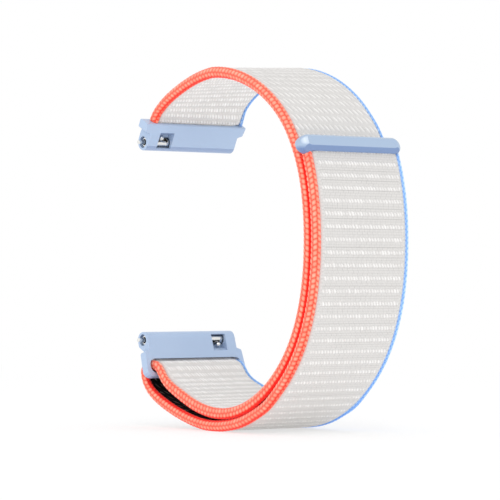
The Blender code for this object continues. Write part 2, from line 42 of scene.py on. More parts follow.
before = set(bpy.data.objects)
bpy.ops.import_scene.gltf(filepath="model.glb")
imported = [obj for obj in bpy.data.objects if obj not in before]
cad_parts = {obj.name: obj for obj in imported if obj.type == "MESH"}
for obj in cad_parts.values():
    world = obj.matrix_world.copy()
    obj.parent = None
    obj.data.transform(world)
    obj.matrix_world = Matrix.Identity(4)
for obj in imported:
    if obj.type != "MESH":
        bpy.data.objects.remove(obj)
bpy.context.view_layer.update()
print("frame loaded")


# Shader maths: a socket that can stand in a sum
class Wire:
    def __init__(self, graph, socket):
        self.graph = graph
        self.socket = socket

    def maths(self, operation, *others):
        return self.graph.node("ShaderNodeMath", {"operation": operation}, self, *others)

    def __add__(self, other):
        return self.maths("ADD", other)

    def __mul__(self, other):
        return self.maths("MULTIPLY", other)

    def __sub__(self, other):
        return self.maths("SUBTRACT", other)

    def __rsub__(self, other):
        return self.graph.node("ShaderNodeMath", {"operation": "SUBTRACT"}, other, self)

    def __truediv__(self, other):
        return self.maths("DIVIDE", other)

    __radd__ = __add__
    __rmul__ = __mul__


class Graph:
    # Nodes of a material or of the world: each one comes from node()
    def __init__(self, tree):
        self.tree = tree

    def plug(self, target, value):
        if isinstance(value, Wire):
            self.tree.links.new(value.socket, target)
        else:
            target.default_value = value

    def node(self, kind, settings, *values, output=0, sockets=None, stops=None, **named):
        made = self.tree.nodes.new(kind)
        for key, value in settings.items():
            setattr(made, key, value)
        if stops:
            ramp = made.color_ramp
            while len(ramp.elements) < len(stops):
                ramp.elements.new(0.5)
            for element, (place, colour) in zip(ramp.elements, stops):
                element.position = place
                element.color = colour
        inputs = {**dict(enumerate(values)), **(sockets or {}), **named}
        for key, value in inputs.items():
            self.plug(made.inputs[key], value)
        return Wire(self, made.outputs[output]) if made.outputs else None

    def seenOrReflected(self):
        # 1 for the camera's own rays and for those that it sees in or through a piece
        rays = [
            self.node("ShaderNodeLightPath", {}, output=ray)
            for ray in ("Is Camera Ray", "Is Glossy Ray", "Is Transmission Ray")
        ]
        return rays[0].maths("MAXIMUM", rays[1]).maths("MAXIMUM", rays[2])


class Finish(Graph):
    # One material, whose shader's sockets are set by name
    def __init__(self, name):
        self.material = bpy.data.materials.new(name)
        self.material.use_nodes = True
        super().__init__(self.material.node_tree)
        self.shader = self.tree.nodes["Principled BSDF"]
        self.output = self.tree.nodes["Material Output"]

    def set(self, **values):
        for key, value in values.items():
            self.plug(self.shader.inputs[key.replace("_", " ")], value)

    def attribute(self, name):
        return self.node("ShaderNodeAttribute", {"attribute_name": name}, output="Fac")

    def ramp(self, factor, *stops):
        # Each stop is its place and its colour on the screen
        stops = [(place, screenColour(*colour)) for place, colour in stops]
        return self.node("ShaderNodeValToRGB", {}, factor, output="Color", stops=stops)

    def noise(self, scale, detail=3.0, where=None):
        place = where or self.node("ShaderNodeTexCoord", {}, output="Object")
        return self.node(
            "ShaderNodeTexNoise", {}, Vector=place, Scale=scale, Detail=detail, output="Fac"
        )

    def partAlong(self, axis, kind, output):
        # X, Y or Z part of a place or a direction, which comes from that output of that node
        whole = self.node(kind, {}, output=output)
        return self.node("ShaderNodeSeparateXYZ", {}, whole, output=axis)

    def blendColours(self, factor, first, second):
        sockets = {0: factor, 6: first, 7: second}
        return self.node("ShaderNodeMix", {"data_type": "RGBA"}, output=2, sockets=sockets)

    def bump(self, height, strength, distance):
        return self.node(
            "ShaderNodeBump", {}, output="Normal",
            Height=height, Strength=strength, Distance=distance,
        )


def screenColour(red, green, blue):
    linear = []
    for value in (red / 255, green / 255, blue / 255):
        linear.append(value / 12.92 if value < 0.04045 else ((value + 0.055) / 1.055) ** 2.4)
    return (*linear, 1.0)


# Strip route, the same one as the CAD solids follow, in mm in the YZ plane
loop = {
    "depth": 51.8,
    "barSpacing": 39.5,
    "risePastBar": 12.55,
    "dropPastBar": 13.4,
    "upperLean": 27.0,
    "lowerLean": 18.0,
    "hemReach": 3.45,
    "mouthReach": 4.7,
    "mouthShift": 0.2,
    "plateThickness": 1.8,
    "adaptorThickness": 3.4,
    "plateReach": 8.05,
    "outerRail": 1.25,
    "slotHeight": 2.7,
    "slotRake": 22.0,
    "slotRun": 1.0,
    "turnRadius": 1.65,
    "turnReach": 1.0,
    "turnAngles": (60.0, 15.0, -30.0),
    "swingAngle": 20.0,
    "looseStart": 7.0,
    "looseRun": 20.0,
    "looseGap": 1.7,
    "loosePower": 1.3,
    "looseShares": (0.0, 0.3, 0.6),
    "layerPitch": 2.45,
    "peelPlace": 52.0,
    "endHeight": 15.2,
    "runPastTab": 6.7,
    "step": 0.1,
    "ovalShares": (
        (0.180, 0.915), (0.415, 1.0), (0.655, 0.925), (0.882, 0.655), (1.0, -0.015),
        (0.896, -0.630), (0.540, -0.998), (0.313, -0.965), (0.199, -0.894), (0.120, -0.816),
    ),
}


def smoothCurve(points, firstHeading, lastHeading):
    # Cubic curve with even curvature through all the points, and set headings at its ends
    points = np.array(points, float)
    spans = np.linalg.norm(np.diff(points, axis=0), axis=1)
    slopes = np.diff(points, axis=0) / spans[:, None]
    count = len(points)
    matrix = np.eye(count)
    right = np.zeros((count, 2))
    right[0], right[-1] = firstHeading, lastHeading
    for index in range(1, count - 1):
        before, after = spans[index - 1], spans[index]
        matrix[index, index - 1:index + 2] = after, 2 * (before + after), before
        right[index] = 3 * (after * slopes[index - 1] + before * slopes[index])
    headings = np.linalg.solve(matrix, right)
    dense = [points[:1]]
    for index, span in enumerate(spans):
        steps = max(2, math.ceil(span / loop["step"]))
        t = (np.arange(1, steps + 1) / steps)[:, None]
        dense.append(
            (2 * t**3 - 3 * t**2 + 1) * points[index]
            + (t**3 - 2 * t**2 + t) * span * headings[index]
            + (3 * t**2 - 2 * t**3) * points[index + 1]
            + (t**3 - t**2) * span * headings[index + 1]
        )
    return np.concatenate(dense)


class Route:
    def __init__(self, points):
        gaps = np.linalg.norm(np.diff(points, axis=0), axis=1)
        self.points = points[np.concatenate(([True], gaps > loop["step"] / 10))]
        steps = np.linalg.norm(np.diff(self.points, axis=0), axis=1)
        self.lengths = np.concatenate(([0.0], np.cumsum(steps)))
        headings = np.gradient(self.points, self.lengths, axis=0)
        self.headings = headings / np.linalg.norm(headings, axis=1)[:, None]

    def at(self, lengths):
        # Places and normals towards the skin face at these lengths
        lengths = np.atleast_1d(lengths)
        place, along = (
            np.stack([np.interp(lengths, self.lengths, values[:, axis]) for axis in (0, 1)], 1)
            for values in (self.points, self.headings)
        )
        along /= np.linalg.norm(along, axis=1)[:, None]
        return place, np.stack([-along[:, 1], along[:, 0]], 1)


def adaptorAxes(isUpper):
    # Place of the spring bar, then the directions across the plate and outwards from the bar
    lean = math.radians(loop["upperLean" if isUpper else "lowerLean"])
    up = 1 if isUpper else -1
    place = np.array((0.0, up * loop["barSpacing"] / 2))
    across = np.array((math.cos(lean), up * math.sin(lean)))
    return place, across, np.array((-math.sin(lean), up * math.cos(lean)))


def layRoute():
    bar, across, outwards = adaptorAxes(True)
    start = bar - across * loop["mouthShift"]
    hem = start + outwards * loop["hemReach"]
    mouth = start + outwards * loop["mouthReach"]
    lowerBar, lowerAcross, lowerOut = adaptorAxes(False)
    rake = math.radians(loop["slotRake"])
    through = lowerAcross * math.cos(rake) - lowerOut * math.sin(rake)
    slotReach = loop["plateReach"] - loop["outerRail"] - loop["slotHeight"] / 2
    slotAcross = (loop["plateThickness"] - loop["adaptorThickness"]) / 2
    slot = lowerBar + lowerAcross * slotAcross + lowerOut * slotReach
    rise = loop["barSpacing"] / 2 + loop["risePastBar"]
    drop = loop["barSpacing"] / 2 + loop["dropPastBar"]
    oval = []
    for deep, high in loop["ovalShares"]:
        oval.append((-deep * loop["depth"], high * (rise if high > 0 else drop)))
    inner = smoothCurve([mouth, *oval, slot - through * loop["slotRun"]], outwards, through)
    innerRoute = Route(inner)
    total = innerRoute.lengths[-1]

    down = np.array((through[1], -through[0]))
    centre = slot + through * loop["turnReach"] + down * loop["turnRadius"]

    def onTurn(angle):
        swing = math.radians(angle)
        towards = math.cos(swing) * through - math.sin(swing) * down
        return centre + loop["turnRadius"] * towards

    def outside(back):
        # Places on the outer run, by the length back from the slot on the inner run
        back = np.atleast_1d(back)
        place, normal = innerRoute.at(total - back)
        stretch = np.clip(1 - (back - loop["looseStart"]) / loop["looseRun"], 0, None)
        lift = loop["layerPitch"] + loop["looseGap"] * stretch ** loop["loosePower"]
        return place - normal * lift[:, None]

    looseEnd = loop["looseStart"] + loop["looseRun"]
    isAbove = innerRoute.points[:, 1] > loop["endHeight"] + loop["runPastTab"]
    last = total - innerRoute.lengths[np.nonzero(isAbove)[0][-1]]
    steps = math.ceil((last - looseEnd) / loop["step"])
    close = outside(np.linspace(looseEnd, last, steps + 1))
    guides = [slot + through * loop["turnReach"], *map(onTurn, loop["turnAngles"])]
    for share in loop["looseShares"]:
        guides.append(outside(loop["looseStart"] + share * loop["looseRun"])[0])
    heading = close[1] - close[0]
    turn = smoothCurve([*guides, close[0]], through, heading / np.linalg.norm(heading))
    route = Route(np.concatenate(([hem], inner, turn, close[1:])))

    def lengthNear(place):
        return float(route.lengths[np.argmin(np.linalg.norm(route.points - place, axis=1))])

    marks = {"mouth": loop["mouthReach"] - loop["hemReach"], "slot": lengthNear(slot)}
    marks["swing"] = lengthNear(onTurn(loop["swingAngle"]))
    rising = (route.points[:, 1] > loop["endHeight"]) & (route.lengths > marks["swing"])
    marks["end"] = float(route.lengths[np.nonzero(rising)[0][0]])
    marks["peel"] = marks["end"] - loop["peelPlace"]
    # The tip's end covers the inner run from this length on
    gaps = np.linalg.norm(route.points - route.at(marks["end"])[0][0], axis=1)
    gaps = np.where(route.lengths < marks["slot"], gaps, np.inf)
    marks["cover"] = float(route.lengths[np.argmin(gaps)])
    return route, marks


route, marks = layRoute()
print("strip route laid, marks in mm:", {key: round(mark, 2) for key, mark in marks.items()})


def makeMesh(name, points, corners, sizes, attributes=None):
    # Smooth mesh from points in mm, the faces' corners in one row, and the faces' sizes
    mesh = bpy.data.meshes.new(name)
    mesh.vertices.add(len(points))
    mesh.vertices.foreach_set("co", (points * mm).astype(np.float32).ravel())
    mesh.loops.add(len(corners))
    mesh.loops.foreach_set("vertex_index", corners.astype(np.int32))
    mesh.polygons.add(len(sizes))
    starts = np.concatenate(([0], np.cumsum(sizes)[:-1]))
    mesh.polygons.foreach_set("loop_start", starts.astype(np.int32))
    mesh.update(calc_edges=True)
    mesh.validate()
    mesh.shade_smooth()
    for key, values in (attributes or {}).items():
        layer = mesh.attributes.new(key, "FLOAT", "POINT")
        layer.data.foreach_set("value", values.astype(np.float32).ravel())
    piece = bpy.data.objects.new(name, mesh)
    bpy.context.scene.collection.objects.link(piece)
    return piece


def ringFaces(rings, count):
    corners = np.arange(rings * count).reshape(rings, count)
    near, far = corners[:-1], corners[1:]
    quads = np.stack([near, np.roll(near, -1, 1), np.roll(far, -1, 1), far], -1).reshape(-1, 4)
    return quads, corners[0][::-1], corners[-1]


def ringMesh(name, grid, attributes=None):
    # Closed piece from rows of rings: grid is (rings, points, 3) in mm, both ends are capped
    rings, count = grid.shape[:2]
    quads, first, last = ringFaces(rings, count)
    corners = np.concatenate((quads.ravel(), first, last))
    sizes = np.concatenate((np.full(len(quads), 4), [count, count]))
    spread = {
        key: np.broadcast_to(values, (rings, count))
        for key, values in (attributes or {}).items()
    }
    return makeMesh(name, grid.reshape(-1, 3), corners, sizes, spread)


def alongRoute(lengths, across, lift):
    # Grid of points from the lengths along the strip and each ring's (across, lift) in mm
    place, normal = route.at(lengths)
    grid = np.empty((*lift.shape, 3))
    grid[..., 0] = across
    grid[..., 1] = place[:, None, 0] + normal[:, None, 0] * lift
    grid[..., 2] = place[:, None, 1] + normal[:, None, 1] * lift
    return grid


def hashed(*cells):
    # Steady made-up share for each stitch, from 0 to 1
    total = sum(cell * weight for cell, weight in zip(cells, (12.9898, 78.233, 37.719)))
    value = np.sin(total) * 43758.5453
    return value - np.floor(value)


def pillow(share, fullness=1.0):
    # Height over a yarn: 1 in its middle, low at its sides; share runs from 0 to 1 across it
    return np.sqrt(np.clip(1 - fullness * (2 * share - 1) ** 2, 0, None))


def dots(spots, rows):
    # Height of small round stitches, from where they are counted along their row and across it
    return pillow(spots - np.floor(spots)) * pillow(rows - np.floor(rows))


def eased(share):
    return share * share * (3 - 2 * share)


# Woven web
web = {
    "near": 9.55,             # sides of the web in the slot
    "far": 10.2,
    "nearShift": 0.35,        # how much further over the sides lie away from the slot
    "farShift": 1.1,
    "shiftMiddle": 1.0,       # past the slot
    "shiftStart": 3.5,        # each way from there
    "shiftRun": 9.0,
    "mouthRun": 0.25,         # over which it widens past the mouth of the upper adaptor
    "thickness": 1.7,
    "tongueThickness": 1.1,
    "growStart": 0.5,         # past the mouth, from where it grows to its full thickness
    "growRun": 2.6,
    "tipLow": -0.35,          # lower face of the tip, which leaves room for the hooks
    "tipStart": 1.5,          # past the peel axis
    "tipRun": 1.5,
    "skinSwitch": 2.2,        # past the slot, from where the skin has the rows of the outer run
    "sideRound": 0.5,
    "sideAngles": (-60, -30, 0, 30, 60),
    "sink": 0.10,             # ground of the weave, below the CAD face
    "reliefStart": 0.7,       # where the stitches rise: from the side, in shares of sideRound
    "innerPitch": 1.76,       # along the inner run, from one bright row to the next
    "outerPitch": 2.36,
    "innerStart": 0.5,        # share of a pitch by which the rows begin later
    "outerStart": 0.17,
    "innerShare": 0.74,       # of the pitch that the raised row takes
    "outerShare": 0.38,
    "rowHeight": 0.05,
    "stitchPitch": 0.66,      # across the strip
    "stitchHeight": 0.15,
    "stitchLean": -0.40,      # sideways shift for each mm along
    "stitchHalf": (0.30, 0.12),     # half width in shares of the pitch, and more on a large one
    "stitchWander": 0.20,
    "stitchEnds": (4.0, 0.5),       # how steeply it ends, and how much shorter a small one is
    "innerFine": 1,           # dotted rows between two bright ones
    "outerFine": 3,
    "dotPitch": 0.38,
    "dotHeight": 0.05,
    "dotFade": 0.04,          # share of a pitch over which the dots begin
    "selvage": 0.92,          # width of the plain stitches beside the braid
    "selvageFade": 0.12,
    "selvagePitch": 0.66,
    "selvageHeights": (0.02, 0.08),
    "smallStitch": 0.6,       # height share of the smallest stitch or loop
    "loopPitch": 1.17,
    "loopRowPitch": 2.2,
    "loopShare": 0.74,        # of the row pitch that a loop spans
    "loopHeight": 0.20,
    "loopLean": 0.42,
    "loopHalf": (0.14, 0.12),       # half width of a loop at its ends, and more in its middle
    "loopWander": 0.16,
    "loopShift": 0.12,        # along the strip, as a share of the row pitch
    "loopShadow": (0.90, 0.20),     # place and half width of the shade beside a loop
    "loopDots": (0.40, 0.42),       # across and along
    "loopDotHeight": 0.04,
    "shadeMiddle": 1.5,       # past the slot
    "shadeReach": 36.0,       # of the painted shade on the lining, each way along the strip from there
    "shadeFade": 2.5,
    "acrossStep": 0.115,
    "alongStep": 0.145,
}

# Tones of the web, from 0 for the darkest to 1 for the brightest: raised rows, stitches and
# loops are painted paler than the ground around them, as painted relief highlight and shade;
# pairs: on the inner and the outer run
webTones = {
    "ground": (0.37, 0.27),
    "row": 0.05,
    "stitch": (0.38, 0.32),
    "stitchSize": 0.18,       # more on a large stitch
    "dot": 0.40,
    "dotMiddle": 0.60,
    "selvage": (0.24, 0.06),
    "selvageRung": 0.32,
    "loopGround": 0.34,
    "loopDot": 0.12,
    "loop": 0.26,
    "loopSize": 0.20,
    "loopShadow": 0.14,
    "flank": 0.3,
}


def awayFromSlot(lengths):
    # 0 in the slot, where the adaptor guides the strip, and 1 where it lies free
    away = np.abs(lengths - marks["slot"] - web["shiftMiddle"])
    return eased(np.clip((away - web["shiftStart"]) / web["shiftRun"], 0, 1))


# Over the crown the far side of the strip stands a little further out, the near side further in
crown = {
    "far": 1.15,
    "farRun": 46.0,           # along the strip from the mouth
    "farSkew": 0.6,           # puts the highest place nearer to the adaptor
    "near": 0.55,
    "nearRun": 22.0,
    "begin": 4.0,             # both grow from nothing over this
}


def crownLift(lengths, across):
    # Outwards, at these lengths and places across
    farShare = (across + web["near"]) / (web["near"] + web["far"])
    away = lengths - marks["mouth"]
    begin = eased(np.clip(away / crown["begin"], 0, 1))
    farPlace = np.clip(away / crown["farRun"], 0, 1) ** crown["farSkew"]
    far = crown["far"] * np.sin(np.pi * farPlace)
    near = crown["near"] * np.sin(np.pi * np.clip(away / crown["nearRun"], 0, 1))
    return begin * (far * farShare - near * (1 - farShare))


def skinFace(across, along):
    # Rows of short leaning stitches, fine dotted rows between them, plain stitches at the sides
    isInner = along < marks["slot"] + web["skinSwitch"]

    def byRun(pair):
        return np.where(isInner, *pair)

    pitch = byRun((web["innerPitch"], web["outerPitch"]))
    raised = byRun((web["innerShare"], web["outerShare"]))
    row = along / pitch + byRun((web["innerStart"], web["outerStart"]))
    level = np.floor(row)
    share = row - level
    band = np.clip(share / raised, 0, 1)
    rise = np.sin(np.pi * band)

    sideways = web["stitchLean"] * (share - raised / 2) * pitch
    stitch = (across - sideways) / web["stitchPitch"] + hashed(level, 5)
    cell = np.floor(stitch)
    size = hashed(cell, level)
    shifted = stitch - cell + web["stitchWander"] * (hashed(level, cell) - 0.5)
    half, halfSpread = web["stitchHalf"]
    yarn = np.clip(1 - (np.abs(shifted - 0.5) / (half + halfSpread * size)) ** 2, 0, 1)
    steepness, shorter = web["stitchEnds"]
    ends = steepness * np.minimum(band, 1 - band) - shorter * (1 - size)
    yarn = yarn * np.sqrt(np.clip(ends, 0, 1))

    fine = (1 - share) / (1 - raised) * byRun((web["innerFine"], web["outerFine"]))
    fineRow = np.floor(fine)
    spot = dots(across / web["dotPitch"] + 0.5 * fineRow + hashed(level, fineRow), fine)
    valley = np.clip((share - raised) / web["dotFade"], 0, 1)
    tall = web["smallStitch"] + (1 - web["smallStitch"]) * size
    height = (
        rise * web["rowHeight"] + yarn * web["stitchHeight"] * tall
        + valley * web["dotHeight"] * spot
    )
    # Painted relief highlight: raised rows and stitches are paler than the ground
    shine = (
        byRun(webTones["ground"]) + webTones["row"] * rise
        + yarn * (byRun(webTones["stitch"]) + webTones["stitchSize"] * size)
        + valley * webTones["dot"] * (spot - webTones["dotMiddle"])
    )

    inside = np.minimum(across + web["near"], web["far"] - across)
    side = np.clip((web["selvage"] - inside) / web["selvageFade"], 0, 1)
    rung = along / web["selvagePitch"]
    rung = pillow(rung - np.floor(rung))
    low, high = web["selvageHeights"]
    sideShine = byRun(webTones["selvage"]) + webTones["selvageRung"] * rung
    return (
        height * (1 - side) + side * (low + high * rung),
        shine * (1 - side) + side * sideShine,
    )


def loopFace(across, along):
    # Rows of short leaning loops, which the hooks of the tip hold on to
    row = along / web["loopRowPitch"]
    level = np.floor(row)
    share = row - level
    sideways = web["loopLean"] * (share - 0.5) * web["loopRowPitch"]
    stitch = (across - sideways) / web["loopPitch"] + hashed(level, 3)
    cell = np.floor(stitch)
    size = hashed(cell, level)
    shifted = stitch - cell + web["loopWander"] * (hashed(level, cell) - 0.5)
    reach = np.abs(share - 0.5 - web["loopShift"] * (size - 0.5)) / (web["loopShare"] / 2)
    long = np.sqrt(np.clip(1 - reach**2, 0, 1))
    half, more = web["loopHalf"]
    dash = np.clip(1 - ((shifted - 0.5) / (half + more * long)) ** 2, 0, None) * long
    shadowPlace, shadowHalf = web["loopShadow"]
    shadow = np.clip(1 - ((shifted - shadowPlace) / shadowHalf) ** 2, 0, None) * long
    dotAcross, dotAlong = web["loopDots"]
    fine = along / dotAlong
    spot = dots(across / dotAcross + 0.5 * np.floor(fine), fine)
    tall = web["smallStitch"] + (1 - web["smallStitch"]) * size
    height = web["loopHeight"] * dash * tall + web["loopDotHeight"] * spot * (1 - dash)
    # Painted relief highlight and shade: loops are paler, with painted shade beside each
    shine = (
        webTones["loopGround"] + webTones["loopDot"] * (spot - 0.5) * (1 - dash)
        + dash * (webTones["loop"] + webTones["loopSize"] * size)
        - webTones["loopShadow"] * shadow
    )
    return height, shine


def paintedShadeAlong(lengths):
    # 1 where the lining is painted near black: painted shade in the gap between the layers by
    #                                           the lower adaptor
    away = np.abs(lengths - marks["slot"] - web["shadeMiddle"])
    return np.clip((web["shadeReach"] - away) / web["shadeFade"], 0, 1)


def webLimits(lengths):
    # Lower and upper face of the web at each length: thin in the mouth, and thinner on the tip
    share = np.clip((lengths - marks["mouth"] - web["growStart"]) / web["growRun"], 0, 1)
    half = (web["tongueThickness"] + share * (web["thickness"] - web["tongueThickness"])) / 2
    onTip = np.clip((lengths - marks["peel"] - web["tipStart"]) / web["tipRun"], 0, 1)
    return -half + (web["tipLow"] + half) * onTip, half


def webRun(name, first, last):
    nearSide, farSide = web["sideRound"] - web["near"], web["far"] - web["sideRound"]
    count = math.ceil((farSide - nearSide) / web["acrossStep"])
    across = np.linspace(nearSide, farSide, count + 1)
    lengths = np.linspace(first, last, math.ceil((last - first) / web["alongStep"]) + 1)
    low, high = webLimits(lengths)
    angles = np.radians(web["sideAngles"])
    side = web["sideRound"] * np.cos(angles)
    turned = np.sin(angles)
    x = np.concatenate((across, farSide + side[::-1], across[::-1], nearSide - side))
    top, topShine = skinFace(across[None, :], lengths[:, None])
    bottom, bottomShine = loopFace(across[None, ::-1], lengths[:, None])
    inside = np.minimum(across + web["near"], web["far"] - across)
    fade = np.clip(inside / web["sideRound"] - web["reliefStart"], 0, 1)[None, :]
    middle, half = (high + low) / 2, (high - low) / 2 - web["sink"]
    lift = np.concatenate((
        high[:, None] - web["sink"] + top * fade,
        middle[:, None] + half[:, None] * turned[::-1],
        low[:, None] + web["sink"] - bottom * fade[:, ::-1] * awayFromSlot(lengths)[:, None],
        middle[:, None] + half[:, None] * turned,
    ), 1)
    flank = np.full((len(lengths), len(side)), webTones["flank"])
    shine = np.concatenate((topShine, flank, bottomShine, flank), 1)
    # Painted shade: the loop face and the loop-side halves of the flanks are painted near black
    # in the gap between the layers by the lower adaptor
    lowSide = np.where(turned < 0, 1.0, 0.0)
    dark = np.concatenate((across * 0, lowSide[::-1], across * 0 + 1, lowSide))[None, :]
    dark = dark * paintedShadeAlong(lengths)[:, None]
    free = awayFromSlot(lengths) * np.clip((lengths - marks["mouth"]) / web["mouthRun"], 0, 1)
    farShare = (x + web["near"]) / (web["near"] + web["far"])
    shift = web["nearShift"] + (web["farShift"] - web["nearShift"]) * farShare
    lift = lift - crownLift(lengths[:, None], x[None, :])
    grid = alongRoute(lengths, x[None, :] + shift[None, :] * free[:, None], lift)
    values = {"across": x[None, :], "along": lengths[:, None], "shine": shine, "dark": dark}
    return ringMesh(name, grid, values)


# Fold of the skin face just behind the slot, where the strip turns
fold = {
    "away": 2.2,             # from the slot to its middle
    "run": 1.5,
    "height": 0.55,
    "farSide": 10.8,         # it closes the slot beside the far cord too
    "farRound": 1.25,
    "farSteep": 0.95,        # how far round its far side goes: 1 is upright
    "under": 0.04,           # by which its rims lie below the skin face
    "base": 0.3,             # of its underside, above the strip's middle
    "keep": 0.35,            # share of its height left at the end of the adaptor's swivel
}


def foldPiece():
    across = np.arange(web["sideRound"] - web["near"], fold["farSide"], web["acrossStep"])
    beyond = (across - fold["farSide"]) / fold["farRound"] + fold["farSteep"]
    rounding = np.sqrt(1 - np.clip(beyond, 0, 1) ** 2)[None, :]
    middle = marks["slot"] + fold["away"]
    step = web["alongStep"]
    lengths = np.arange(middle - fold["run"], middle + fold["run"] + step, step)
    top, shine = skinFace(across[None, :], lengths[:, None])
    share = np.clip(np.abs(lengths - middle) / fold["run"], 0, 1)[:, None]
    arch = np.cos(np.pi / 2 * share) ** 2 * rounding
    rise = (fold["height"] + fold["under"]) * arch - fold["under"]
    upper = webLimits(lengths)[1][:, None] - web["sink"] + top * rounding + rise
    lift = np.concatenate((upper, np.full(upper.shape, fold["base"])), 1)
    x = np.concatenate((across, across[::-1]))[None, :]
    shine = np.concatenate((shine, shine), 1)
    values = {"across": x, "along": lengths[:, None], "shine": shine, "dark": np.zeros((1, 1))}
    return ringMesh("turnFold", alongRoute(lengths, x, lift), values)


# Braided edge cords: -1 is the near one and 1 the far one
cordSizes = {
    "middles": {-1: 10.03, 1: 10.48},
    "shifts": {-1: 0.35, 1: 1.1},
    "halfWidths": {-1: 0.80, 1: 0.29},
    "outerExtra": {-1: 0.0, 1: 0.17},     # more half width on the outer run
    "outerRun": 5.0,         # past the slot, over which it grows
    "halfThicknesses": {-1: 1.08, 1: 0.82},
    "coveredExtra": {-1: 0.0, 1: 0.20},   # more half thickness between the layers
    "columns": 6,
    "columnTurn": 0.97,      # puts a column of stitches in the middle of the outer side
    "pressedFrom": 0.60,     # of the half thickness, where the painted shade begins on a side close to the next layer
    "pressedLean": 0.12,     # towards the next layer
    "pressedRun": 6.0,       # along the strip, over which both begin
    "bendLift": 0.20,        # away from the next layer, where the tip bends
    "bendRun": 5.0,
    "slotPinch": {-1: 0.10, 1: 0.0},      # share by which the slot narrows and thins it
    "stitch": 1.02,          # along the cord
    "height": 0.17,
    "level": 0.8,            # share of the height that lies inside the cord's own size
    "fullness": (0.9, 0.92),     # roundness of a stitch across and along
    "sizeSpread": 0.18,
    "slant": 0.30,
    "intoTab": 0.9,
    "aroundPoints": 54,
    "alongStep": 0.105,
}


def cordRun(name, side, first, last):
    c = cordSizes
    lengths = np.linspace(first, last, math.ceil((last - first) / c["alongStep"]) + 1)[:, None]
    angle = (2 * np.pi * np.arange(c["aroundPoints"]) / c["aroundPoints"])[None, :]
    column = angle / (2 * np.pi) * c["columns"] + c["columnTurn"]
    level = np.floor(column)
    across = column - level
    lean = np.where(level % 2 == 0, 1.0, -1.0)
    stitch = lengths / c["stitch"] + 0.5 * (level % 2) + lean * c["slant"] * (across - 0.5)
    cell = np.floor(stitch)
    size = 1 - c["sizeSpread"] + c["sizeSpread"] * hashed(cell, level + side * 7)
    share = stitch - cell
    fullAcross, fullAlong = c["fullness"]
    height = pillow(across, fullAcross) * pillow(share, fullAlong) * size
    swell = (height - c["level"]) * c["height"]

    free = awayFromSlot(lengths)
    onOuter = np.clip((lengths - marks["slot"]) / c["outerRun"], 0, 1)
    isCovered = np.clip((lengths - marks["cover"]) / c["pressedRun"] + 0.5, 0, 1)
    between = isCovered * free
    pinch = 1 - c["slotPinch"][side] * (1 - free)
    halfWidth = (c["halfWidths"][side] + c["outerExtra"][side] * onOuter) * pinch
    halfThickness = (c["halfThicknesses"][side] + c["coveredExtra"][side] * between) * pinch
    x = side * (c["middles"][side] + (halfWidth + swell) * np.cos(angle))
    x = x + c["shifts"][side] * free
    atBend = np.clip(np.abs(lengths - marks["peel"]) / c["bendRun"], 0, 1)
    lift = (halfThickness + swell) * np.sin(angle) - c["pressedLean"] * between
    lift = lift + c["bendLift"] * (1 + np.cos(np.pi * atBend)) / 2
    lift = lift - crownLift(lengths, side * c["middles"][side])
    # Painted shade in the crease between the layers: 1 on a side close to the next layer
    pressed = np.clip((-np.sin(angle) - c["pressedFrom"]) / (1 - c["pressedFrom"]), 0, 1)
    grid = alongRoute(lengths[:, 0], x, lift)
    # The stitches' height is also their tone: painted highlight on their tops and painted shade
    # in the hollows between them
    values = {"shine": height, "turn": angle, "strand": share, "pressed": pressed * isCovered}
    if side < 0:
        grid = grid[:, ::-1]
        values = {key: value[:, ::-1] for key, value in values.items()}
    return ringMesh(name, grid, {"along": lengths, **values})


# End tab: a moulded bar with a flat front between two chamfers, and domed ends
tab = {
    "halfLength": 12.2,
    "halfHeight": 1.7,
    "axisOut": 0.55,         # its own axis, outwards from the strip's middle
    "back": 1.55,
    "bulge": 1.95,           # of the bar before its flats are cut
    # up, outwards, reach, and the share by which it stands further off over the domed ends
    "flats": ((0.0, 1.0, 1.60, 1.1), (-0.853, 0.523, 1.476, 0.05), (0.707, 0.707, 1.895, 1.5)),
    "squareness": 3.4,
    "flatSharpness": 90,
    "endRun": 2.5,
    "endPower": 2.1,
    "endSquareness": 2.3,
    "mouthDepth": 0.45,
    "mouth": (-1.05, 0.45),  # outwards from the axis
    "mouthWide": (-9.35, 11.45),
    "mouthSlope": 0.3,       # limits how far the mouth cuts sideways
    "stations": 360,
    "lastStation": 0.985,    # share of a half length's turn, where the ends are capped
    "around": 216,
}


def tabPiece():
    t = tab
    turn = np.linspace(-t["lastStation"], t["lastStation"], t["stations"])
    x = t["halfLength"] * np.sin(np.pi / 2 * turn)[:, None]
    angle = (2 * np.pi * np.arange(t["around"]) / t["around"])[None, :]
    up, out = np.cos(angle), np.sin(angle)
    deep = np.where(out > 0, t["bulge"], t["back"])
    beyond = np.clip((np.abs(x) - t["halfLength"] + t["endRun"]) / t["endRun"], 0, 1)
    power = t["squareness"] + (t["endSquareness"] - t["squareness"]) * np.sqrt(beyond)
    base = (np.abs(up) / t["halfHeight"]) ** power + (np.abs(out) / deep) ** power
    reach = base ** (-1 / power) * (1 - beyond ** t["endPower"]) ** (1 / t["endPower"])
    total = reach ** -t["flatSharpness"]
    for flatUp, flatOut, distance, lift in t["flats"]:
        facing = np.clip((flatUp * up + flatOut * out) / distance, 0, None)
        total = total + (facing / (1 + lift * beyond**2)) ** t["flatSharpness"]
    reach = total ** (-1 / t["flatSharpness"])
    low, high = t["mouth"]
    left, right = t["mouthWide"]
    inMouth = (up < 0) & (reach * out > low) & (reach * out < high) & (x > left) & (x < right)
    reach = reach - inMouth * t["mouthDepth"] / np.maximum(-up, t["mouthSlope"])
    place, outwards = (value[0] for value in route.at(marks["end"] + t["halfHeight"]))
    along = np.array((outwards[1], -outwards[0]))
    grid = np.empty((*reach.shape, 3))
    grid[..., 0] = x
    rise, depth = reach * up, t["axisOut"] + reach * out
    for axis in (0, 1):
        grid[..., axis + 1] = place[axis] + rise * along[axis] + depth * outwards[axis]
    return ringMesh("endTab", grid)


